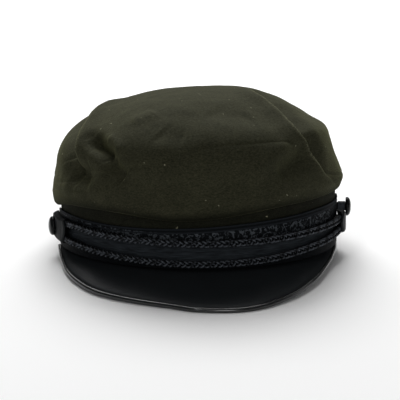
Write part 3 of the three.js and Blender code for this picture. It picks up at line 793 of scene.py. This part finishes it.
for swings, way, size in ((1, upward, "Half width"), (2, outward, "Half depth")):
    swing = add(plait, "ShaderNodeMath", {0: turns, 1: FULL_TURN * swings}, operation="MULTIPLY")
    wave = add(plait, "ShaderNodeMath", {0: swing}, operation="SINE")
    reach = add(plait, "ShaderNodeMath", {0: wave, 1: given[size]}, operation="MULTIPLY")
    moves.append(add(plait, "ShaderNodeVectorMath", {0: way, "Scale": reach}, operation="SCALE"))
move = add(plait, "ShaderNodeVectorMath", dict(enumerate(moves)), operation="ADD")
moved = add(plait, "GeometryNodeSetPosition", {"Geometry": strands, "Offset": move})
woven = add(plait, "GeometryNodeSetCurveNormal", {"Curve": moved, "Normal": outward}, mode="FREE")
# The last wave is the one from front to back, so it says how far a strand has come to the front.
for mark, value in (("strand_along", spline["Length"]), ("strand_front", wave)):
    woven = add(plait, "GeometryNodeStoreNamedAttribute", {"Geometry": woven, "Name": mark, "Value": value})
# The oval starts at the strand's back, so that its first and last points meet out of sight.
circle = add(plait, "GeometryNodeCurvePrimitiveCircle", {"Resolution": STRAND_SIDES, "Radius": 1.0})
oval_size = add(plait, "ShaderNodeCombineXYZ", {
    "X": given["Strand depth"], "Y": given["Strand width"], "Z": 1.0,
})
oval = add(plait, "GeometryNodeTransform", {
    "Geometry": circle, "Rotation": (0.0, 0.0, math.pi), "Scale": oval_size,
})
turn_round = add(plait, "ShaderNodeMath", {0: spline["Factor"], 1: FULL_TURN}, operation="MULTIPLY")
to_back = add(plait, "ShaderNodeMath", {0: turn_round}, operation="COSINE")
to_front = add(plait, "ShaderNodeMath", {0: to_back, 1: -1.0}, operation="MULTIPLY")
for mark, value in (("strand_about", spline["Factor"]), ("strand_facing", to_front)):
    oval = add(plait, "GeometryNodeStoreNamedAttribute", {"Geometry": oval, "Name": mark, "Value": value})
tubes = add(plait, "GeometryNodeCurveToMesh", {"Curve": woven, "Profile Curve": oval, "Fill Caps": True})
end_tree(plait, tubes, braid)


def cord_deep(angle):
    """Half the cords' depth: their ends are pressed flat under the tabs."""
    free = ease(*FREE_FROM, angle) * (1 - ease(*FREE_TO, angle))
    return CORD_PRESSED + (CORD_THICK - CORD_PRESSED) * free


def plaited(name, heights, start, end, node_name):
    """One plaited cord round the band between two angles. Its strands swing out less where pressed."""
    way = np.linspace(start, end, CORD_POINTS)
    height = round_cap(heights, way)
    deep = cord_deep(way)
    middle = lay_down(on_band(way, RIBBON_OUT + SEWN_GAP + deep, height))
    outer = lay_down(on_band(way, RIBBON_OUT + SEWN_GAP + deep + 1, height))
    strand_deep = METRE * PLAIT_SIZES["Strand depth"]
    press = (deep - strand_deep) / (CORD_THICK - strand_deep)
    away = press[:, None] * unit(outer - middle)
    mesh = run_tree(name, guide_line(name + "_line", middle, away), plait, PLAIT_SIZES)
    sew(name, mesh, braid, node_name)


plaited("cord_upper_plait", UPPER_CORD, -70, 75.5, "cord_upper")
plaited("cord_lower_plait", LOWER_CORD, -70, 80, "cord_lower")


# The peak
# The peak is a stiff board faced with smooth black leather, sewn under the band and curving down to
# the front. A rolled strip of the same leather, 3 mm thick, is bound round its edge.
PEAK_WALL = 2.0
PEAK_TUCK = 2.6
PEAK_CAMBER = 1.6
CAMBER_REACH = 20  # mm past the band from which the peak has its full camber
PEAK_END = 83
LONG_TURN = 1  # degrees, and a share of the way out, over which the board's slope is taken
LONG_SHARE = 0.05
PEAK_COLUMNS = 240
PEAK_ROWS = 33
RIM_STARTS = 0.93  # of the way out, from where the board is thinned to go into the roll
RIM_THINNED = 0.45
ROLL_RADIUS = 1.5
ROLL_INSET = 0.2  # of its radius, by which the board's edge lies inside its middle line
ROLL_END = 85
ROLL_POINTS = 300
ROLL_SIDES = 20
# Angle from the front, reach past the band and height over the ground of the rolled edge.
PEAK_EDGE = [
    (-85, 1.4, 4.3), (-76, 2.5, 4.1), (-62, 7.4, 3.3), (-45, 19.2, 2.6), (-32, 29.3, 2.2),
    (-18, 34.6, 1.8), (-11, 37.7, 1.6), (-4, 43.3, 1.42), (8, 44.6, 1.42), (20, 33.7, 2.6),
    (31, 21.6, 4.0), (45, 9.4, 5.2), (60, 2.5, 5.6), (72, 0.4, 5.2), (85, -0.2, 4.6),
]
PEAK_REACH = [[a, reach] for a, reach, _ in PEAK_EDGE] + [[180, 0]]
PEAK_HEIGHT = [[a, height] for a, _, height in PEAK_EDGE] + [[180, 4]]

LEATHER_BLACK = "#1b1d1f"
LEATHER_WORN = "#212426"
GRAIN_MM = 1.1  # real calf grain is about 0.4 mm; drawn coarse enough to show
HANDLED_MM = 50 / 3

# Smooth calf leather, dyed and pressed: a fine shallow grain, and faint patches where it is handled.
leather, tree, shader = finish_for("smooth_black_leather")
place = add(tree, "ShaderNodeTexCoord").outputs["Object"]
grain = add(tree, "ShaderNodeTexVoronoi", {"Vector": place, "Scale": METRE / GRAIN_MM}, feature="F1")
handling = add(tree, "ShaderNodeTexNoise", {
    "Vector": place, "Scale": METRE / HANDLED_MM, "Detail": 5.0, "Roughness": 0.65,
})
leather_colour = add(tree, "ShaderNodeMix", {
    0: handling, 6: linear(LEATHER_BLACK), 7: linear(LEATHER_WORN),
}, data_type="RGBA")
leather_rough = add(tree, "ShaderNodeMapRange", {0: handling, 3: 0.3, 4: 0.4})
leather_bump = add(tree, "ShaderNodeBump", {"Height": grain, "Strength": 0.12, "Distance": 0.0001})
fill(shader, {
    "Base Color": leather_colour.outputs[2], "Normal": leather_bump, "Roughness": leather_rough,
    "IOR": 1.5, "Specular IOR Level": 0.04,
})


def lift_off_ground(x, y, z):
    """The level place of a place given over the ground."""
    up = z + REST_SINK - BAND_HALF_LENGTH * math.sin(REST_TIP)
    level_y = y * math.cos(REST_TIP) - up * math.sin(REST_TIP)
    level_z = up * math.cos(REST_TIP) + y * math.sin(REST_TIP)
    return np.stack([x, level_y, level_z], axis=-1)


def peak_edge(angle):
    """The middle line of the rolled edge."""
    s, c = np.sin(np.radians(angle)), np.cos(np.radians(angle))
    reach = 1 / np.hypot(s / BAND_HALF_WIDTH, c / BAND_HALF_LENGTH) + round_cap(PEAK_REACH, angle)
    return lift_off_ground(reach * s, -reach * c, round_cap(PEAK_HEIGHT, angle))


def peak_middle(angle, across):
    """The middle of the peak's board, from 0 under the band to 1 inside the rolled edge."""
    angle, across = np.broadcast_arrays(angle, across)
    hidden = on_band(angle, -PEAK_TUCK, -SEWN_GAP - PEAK_WALL / 2)
    edge = peak_edge(angle)
    ahead = unit(peak_edge(angle + SHORT_TURN) - peak_edge(angle - SHORT_TURN))
    inward = hidden - edge
    inward = unit(inward - ahead * np.sum(inward * ahead, axis=-1, keepdims=True))
    rim = edge + inward * ROLL_INSET * ROLL_RADIUS
    p = hidden + (rim - hidden) * across[..., None]
    reach = np.clip(round_cap(PEAK_REACH, angle) / CAMBER_REACH, 0, 1)
    p[..., 2] += PEAK_CAMBER * reach * 4 * across * (1 - across)
    return p


def peak_normal(angle, across):
    """The upward direction of the peak's board."""
    along = peak_middle(angle + LONG_TURN, across) - peak_middle(angle - LONG_TURN, across)
    out = peak_middle(angle, across + LONG_SHARE) - peak_middle(angle, across - LONG_SHARE)
    normal = unit(np.cross(out, along))
    return np.where(normal[..., 2:] < 0, -normal, normal)


peak_way = np.linspace(-PEAK_END, PEAK_END, PEAK_COLUMNS)
peak_rows = np.linspace(0, 1, PEAK_ROWS)
peak_faces = []
for face, rows in ((1, peak_rows), (-1, peak_rows[::-1])):
    for f in rows:
        normal = peak_normal(peak_way, f) if f > 0 else np.tile([0.0, 0.0, 1.0], (PEAK_COLUMNS, 1))
        thinned = PEAK_WALL / 2 * (1 - RIM_THINNED * ease(RIM_STARTS, 1, f))
        peak_faces.append(peak_middle(peak_way, f) + face * thinned * normal)
peak_mesh = loft("peak_leather", lay_down(np.stack(peak_faces, axis=1)), ring=False)
sew("peak_leather", peak_mesh, leather, "peak")

# The rolled edge is a strip of leather turned over a filling cord, stretched smooth and rubbed bright.
ROLL_BLACK = "#101213"
RUBBED_MM = 100 / 9
roll_leather, tree, shader = finish_for("rubbed_roll_leather")
place = add(tree, "ShaderNodeTexCoord").outputs["Object"]
rubbing = add(tree, "ShaderNodeTexNoise", {"Vector": place, "Scale": METRE / RUBBED_MM, "Detail": 4.0})
rubbed = add(tree, "ShaderNodeMapRange", {0: rubbing, 3: 0.14, 4: 0.26})
fill(shader, {
    "Base Color": linear(ROLL_BLACK), "Roughness": rubbed, "IOR": 1.5, "Specular IOR Level": 0.8,
})

roll_tree, given = new_tree("rolled_edge", ["Roll radius"])
line = add(roll_tree, "GeometryNodeMeshToCurve", {"Mesh": given["Geometry"]})
profile = add(roll_tree, "GeometryNodeCurvePrimitiveCircle", {
    "Resolution": ROLL_SIDES, "Radius": given["Roll radius"],
})
rolled = add(roll_tree, "GeometryNodeCurveToMesh", {
    "Curve": line, "Profile Curve": profile, "Fill Caps": True,
})
end_tree(roll_tree, rolled, roll_leather)
roll_line = lay_down(peak_edge(np.linspace(-ROLL_END, ROLL_END, ROLL_POINTS)))
roll_sizes = {"Roll radius": ROLL_RADIUS / METRE}
roll_mesh = run_tree("peak_roll", guide_line("roll_line", roll_line), roll_tree, roll_sizes)
sew("peak_roll", roll_mesh, roll_leather, "peak_binding")


# The side tabs, shanks and buttons
# At each side a short tab of black leather covers the pressed ends of both cords, and is turned down to
# the ribbon at its edges. A domed black button stands beside it on a shank wrapped with thread.
TAB_WALL = 1.1
TAB_REAR = 88
TAB_TUCK = 12  # how sharply a tab turns down at its edges
TAB_DIMPLE = (5.4, 6.6)  # mm from the button's middle, between which the left tab sinks under it
TAB_SPAN = 16  # mm, about its height, and taken for its length round the band too
TAB_ROUND = 1.2  # mm in from its edges over which it gets its full thickness
TAB_EDGE = 0.35  # the share of its thickness that its edges have
TAB_STEPS = 56
BUTTON_RADIUS = 6.0
BUTTON_THICK = 3.5
BUTTON_SIDE = 82
BUTTON_STEPS = 64
SHANK_RADIUS = 3.4
# The button's height and distance out and the shank's foot; the tab's top at the front and the rear and
# the angles between which it falls, its bottom, and its front edge from top to bottom in degrees.
SIDES = {
    "left": dict(
        sign=-1, button=12.4, base=5.4, foot=2.9, top=21.6, rear_top=20.4, fall=(64, 72), low=4.4,
        front=[68, 65.5, 67, 71], dimpled=True,
    ),
    "right": dict(
        sign=1, button=21.8, base=6.7, foot=1.5, top=22.2, rear_top=17.6, fall=(74, 79.5), low=7.0,
        front=[72, 67, 68, 74], dimpled=False,
    ),
}
# A dome's outline: shares of the button's radius and of its thickness.
DOME = [
    (0, 0), (0.8, 0), (0.9, 0.02), (0.97, 0.09), (1, 0.2), (1, 0.34), (0.985, 0.42), (0.95, 0.53),
    (0.88, 0.66), (0.78, 0.77), (0.66, 0.85), (0.5, 0.92), (0.33, 0.97), (0.16, 0.995), (0, 1),
]

# Polished leather with a soft shine, creased a little all over from being drawn tight.
PATENT_BLACK = "#141617"
CREASED_MM = 20 / 7
patent, tree, shader = finish_for("polished_black_leather")
place = add(tree, "ShaderNodeTexCoord").outputs["Object"]
creases = add(tree, "ShaderNodeTexNoise", {
    "Vector": place, "Scale": METRE / CREASED_MM, "Detail": 3.0, "Distortion": 0.8,
})
patent_bump = add(tree, "ShaderNodeBump", {"Height": creases, "Strength": 0.5, "Distance": 0.0005})
fill(shader, {
    "Base Color": linear(PATENT_BLACK), "Normal": patent_bump, "Roughness": 0.42, "IOR": 1.5,
    "Specular IOR Level": 0.01,
})

# Moulded plastic: smooth from its mould, and rubbed a little duller in fine patches.
BUTTON_BLACK = "#0c0d0e"
DULLED_MM = 10 / 9
moulded, tree, shader = finish_for("moulded_black_plastic")
place = add(tree, "ShaderNodeTexCoord").outputs["Object"]
rubs = add(tree, "ShaderNodeTexNoise", {
    "Vector": place, "Scale": METRE / DULLED_MM, "Detail": 4.0, "Roughness": 0.7,
})
rub_rough = add(tree, "ShaderNodeMapRange", {0: rubs, 3: 0.18, 4: 0.34})
fill(shader, {
    "Base Color": linear(BUTTON_BLACK), "Roughness": rub_rough, "IOR": 1.49, "Specular IOR Level": 0.12,
})


def tab_face(side, v, w, lift):
    """A place on the tab, drawn over both cords: v from top to bottom, w from front to rear."""
    lead = np.polyval(np.polyfit(np.linspace(0, 1, 4), side["front"], 3), v)
    angle = lead + (TAB_REAR - lead) * w
    top = side["top"] + (side["rear_top"] - side["top"]) * ease(*side["fall"], angle)
    level = top + (side["low"] - top) * v
    down = np.abs(2 * v - 1) ** TAB_TUCK
    away = np.hypot(level - side["button"], (angle - BUTTON_SIDE) * math.radians(BAND_HALF_WIDTH))
    sunk = 1 - ease(*TAB_DIMPLE, away) if side["dimpled"] else 0
    flat = RIBBON_OUT + SEWN_GAP
    over = flat + SEWN_GAP + 2 * cord_deep(side["sign"] * angle)
    return on_band(side["sign"] * angle, flat + (over - flat) * (1 - down) * (1 - sunk) + lift, level)


def turned_on_side(name, side, profile):
    """A round solid standing out from the cap's side: rows of [radius, distance from the band]."""
    foot = on_band(side["sign"] * BUTTON_SIDE, 0, side["button"])
    out = unit(on_band(side["sign"] * BUTTON_SIDE, 1, side["button"]) - foot)
    up = np.array([0.0, 0.0, 1.0])
    across = unit(np.cross(up, out))
    sections = []
    for turn in np.linspace(0, FULL_TURN, BUTTON_STEPS, endpoint=False):
        spoke = across * math.cos(turn) + up * math.sin(turn)
        sections.append([foot + out * distance + spoke * radius for radius, distance in profile])
    return loft(name, lay_down(sections), ring=True, crease=40)


# Each shank is a core wound with one thread in close turns, like a spring.
THREAD_RADIUS = 0.6
SPIRAL_STEPS = 40
THREAD_SIDES = 12
CORE_SIDES = 48
winding, given = new_tree("thread_winding", ["Shank radius", "Shank length", "Thread radius"], ["Turns"])
shank_long, thread_half = given["Shank length"], given["Thread radius"]
spline = add(winding, "GeometryNodeSplineParameter").outputs
wound_radius = add(winding, "ShaderNodeMath", {
    0: given["Shank radius"], 1: thread_half,
}, operation="SUBTRACT")
thread_width = add(winding, "ShaderNodeMath", {0: thread_half, 1: 2.0}, operation="MULTIPLY")
wound_length = add(winding, "ShaderNodeMath", {0: shank_long, 1: thread_width}, operation="SUBTRACT")
spiral = add(winding, "GeometryNodeCurveSpiral", {
    "Resolution": SPIRAL_STEPS, "Rotations": given["Turns"], "Start Radius": wound_radius,
    "End Radius": wound_radius, "Height": wound_length,
})
thread_round = add(winding, "GeometryNodeCurvePrimitiveCircle", {
    "Resolution": THREAD_SIDES, "Radius": thread_half,
})
marked = []
for curve, mark, value in (
    (spiral, "strand_along", spline["Length"]),
    (thread_round, "strand_about", spline["Factor"]),
):
    marked.append(add(winding, "GeometryNodeStoreNamedAttribute", {
        "Geometry": curve, "Name": mark, "Value": value,
    }))
wound = add(winding, "GeometryNodeCurveToMesh", {
    "Curve": marked[0], "Profile Curve": marked[1], "Fill Caps": True,
})
# Every part of the winding counts as at the front, and as facing out by how far it stands off the core, so
# the cord's painted highlight falls on the thread's outer side.
position = add(winding, "GeometryNodeInputPosition")
flat_place = add(winding, "ShaderNodeVectorMath", {0: position, 1: (1.0, 1.0, 0.0)}, operation="MULTIPLY")
from_middle = add(winding, "ShaderNodeVectorMath", {0: flat_place}, operation="LENGTH").outputs["Value"]
standing = add(winding, "ShaderNodeMath", {0: from_middle, 1: wound_radius}, operation="SUBTRACT")
stands_out = add(winding, "ShaderNodeMath", {0: standing, 1: thread_half}, operation="DIVIDE")
for mark, value in (("strand_front", 1.0), ("strand_facing", stands_out)):
    wound = add(winding, "GeometryNodeStoreNamedAttribute", {
        "Geometry": wound, "Name": mark, "Value": value,
    })
core = add(winding, "GeometryNodeMeshCylinder", {
    "Vertices": CORE_SIDES, "Radius": wound_radius, "Depth": shank_long,
})
half_length = add(winding, "ShaderNodeMath", {0: shank_long, 1: 0.5}, operation="MULTIPLY")
joined = add(winding, "GeometryNodeJoinGeometry")
for shape, rise in ((wound, thread_half), (core, half_length)):
    upwards = add(winding, "ShaderNodeCombineXYZ", {"Z": rise})
    placed = add(winding, "GeometryNodeTransform", {"Geometry": shape, "Translation": upwards})
    fill(joined, {0: placed})
end_tree(winding, joined, braid)

for side_name, side in SIDES.items():
    closer_at_ends = 0.5 - 0.5 * np.cos(np.linspace(0, math.pi, TAB_STEPS))
    v, w = np.meshgrid(closer_at_ends, closer_at_ends, indexing="ij")
    near_rim = TAB_SPAN * np.minimum(np.minimum(v, 1 - v), np.minimum(w, 1 - w))
    plump = TAB_WALL * (TAB_EDGE + (1 - TAB_EDGE) * np.sqrt(ease(0, TAB_ROUND, near_rim)))
    top_face = tab_face(side, v, w, plump)
    low_face = tab_face(side, v, w, 0.0)
    tab_sections = np.concatenate([top_face, low_face[::-1]], axis=0).transpose(1, 0, 2)
    tab_mesh = loft(f"tab_{side_name}_leather", lay_down(tab_sections), ring=False)
    sew(f"tab_{side_name}_leather", tab_mesh, patent, f"tab_{side_name}")

    seat = side["foot"] - SEWN_GAP  # the thread is pulled tight between the button and what lies under it
    length = side["base"] - seat
    winding_sizes = {
        "Shank radius": SHANK_RADIUS / METRE,
        "Shank length": length / METRE,
        "Thread radius": THREAD_RADIUS / METRE,
        "Turns": round(length / (2 * THREAD_RADIUS)),
    }
    bare = bpy.data.objects.new("shank_start", bpy.data.meshes.new("shank_start"))
    shank_mesh = run_tree(f"shank_{side_name}_thread", bare, winding, winding_sizes)
    foot, out = (
        Vector(lay_down(on_band(side["sign"] * BUTTON_SIDE, seat + more, side["button"])))
        for more in (0, 1)
    )
    facing = (out - foot).to_track_quat("Z", "Y").to_matrix().to_4x4()
    shank_mesh.transform(Matrix.Translation(foot) @ facing)
    sew(f"shank_{side_name}_thread", shank_mesh, braid, f"shank_{side_name}")

    dome = [(r * BUTTON_RADIUS, side["base"] + d * BUTTON_THICK) for r, d in DOME]
    button_mesh = turned_on_side(f"button_{side_name}_dome", side, dome)
    sew(f"button_{side_name}_dome", button_mesh, moulded, f"button_{side_name}")


# The photograph's set
# A pale paper floor with a dim even surround, a large soft light overhead and behind, one over the
# floor's far part, and small ones at the right, the front and the front left, which makes the roll's
# thin highlight. The camera stands a metre off, a little to the left and above, with a long lens.
FLOOR_HALF = 6.0
floor_mesh = bpy.data.meshes.new("floor")
corners = [(x * FLOOR_HALF, y * FLOOR_HALF, 0) for x, y in ((-1, -1), (1, -1), (1, 1), (-1, 1))]
floor_mesh.from_pydata(corners, [], [(0, 1, 2, 3)])
floor = bpy.data.objects.new("floor", floor_mesh)
bpy.context.scene.collection.objects.link(floor)
paper, tree, shader = finish_for("pale_paper_floor")
fill(shader, {"Base Color": linear("#f8f8f8"), "Roughness": 0.9, "Specular IOR Level": 0.1})
floor_mesh.materials.append(paper)

world = bpy.data.worlds.new("surround")
world.use_nodes = True
bpy.context.scene.world = world
fill(world.node_tree.nodes["Background"], {"Color": (1.0, 1.0, 1.0, 1.0), "Strength": 0.08})

# Each light's name, place, aim, width in metres and power in watts.
TARGET = Vector((0.00055, 0.0161, 0.0313))
LIGHTS = [
    ("overhead", (0.0, 1.1, 1.5), TARGET, 1.2, 36.0),
    ("right_rim", (1.3, 0.45, 0.6), TARGET, 0.5, 0.5),
    ("front_fill", (0.1, -1.6, 0.6), TARGET, 0.6, 5.0),
    ("front_left", (-0.5, -0.9, 1.3), TARGET, 0.16, 2.5),
    ("background", (0.0, 2.8, 1.6), (0.0, 2.4, 0.0), 2.4, 40.0),
]
for light_name, spot, aim, width, power in LIGHTS:
    light_data = bpy.data.lights.new(light_name, "AREA")
    light_data.size = width
    light_data.energy = power
    light = bpy.data.objects.new(light_name, light_data)
    light.location = spot
    light.rotation_euler = (Vector(aim) - Vector(spot)).to_track_quat("-Z", "Y").to_euler()
    bpy.context.scene.collection.objects.link(light)

camera_data = bpy.data.cameras.new("camera")
camera_data.sensor_width = 36.0
camera_data.lens = 139.5
camera = bpy.data.objects.new("camera", camera_data)
camera.location = (-0.0673, -0.9543, 0.2630)
camera.rotation_euler = (TARGET - camera.location).to_track_quat("-Z", "Y").to_euler()
bpy.context.scene.collection.objects.link(camera)
bpy.context.scene.camera = camera
bpy.context.scene.view_settings.view_transform = "Standard"
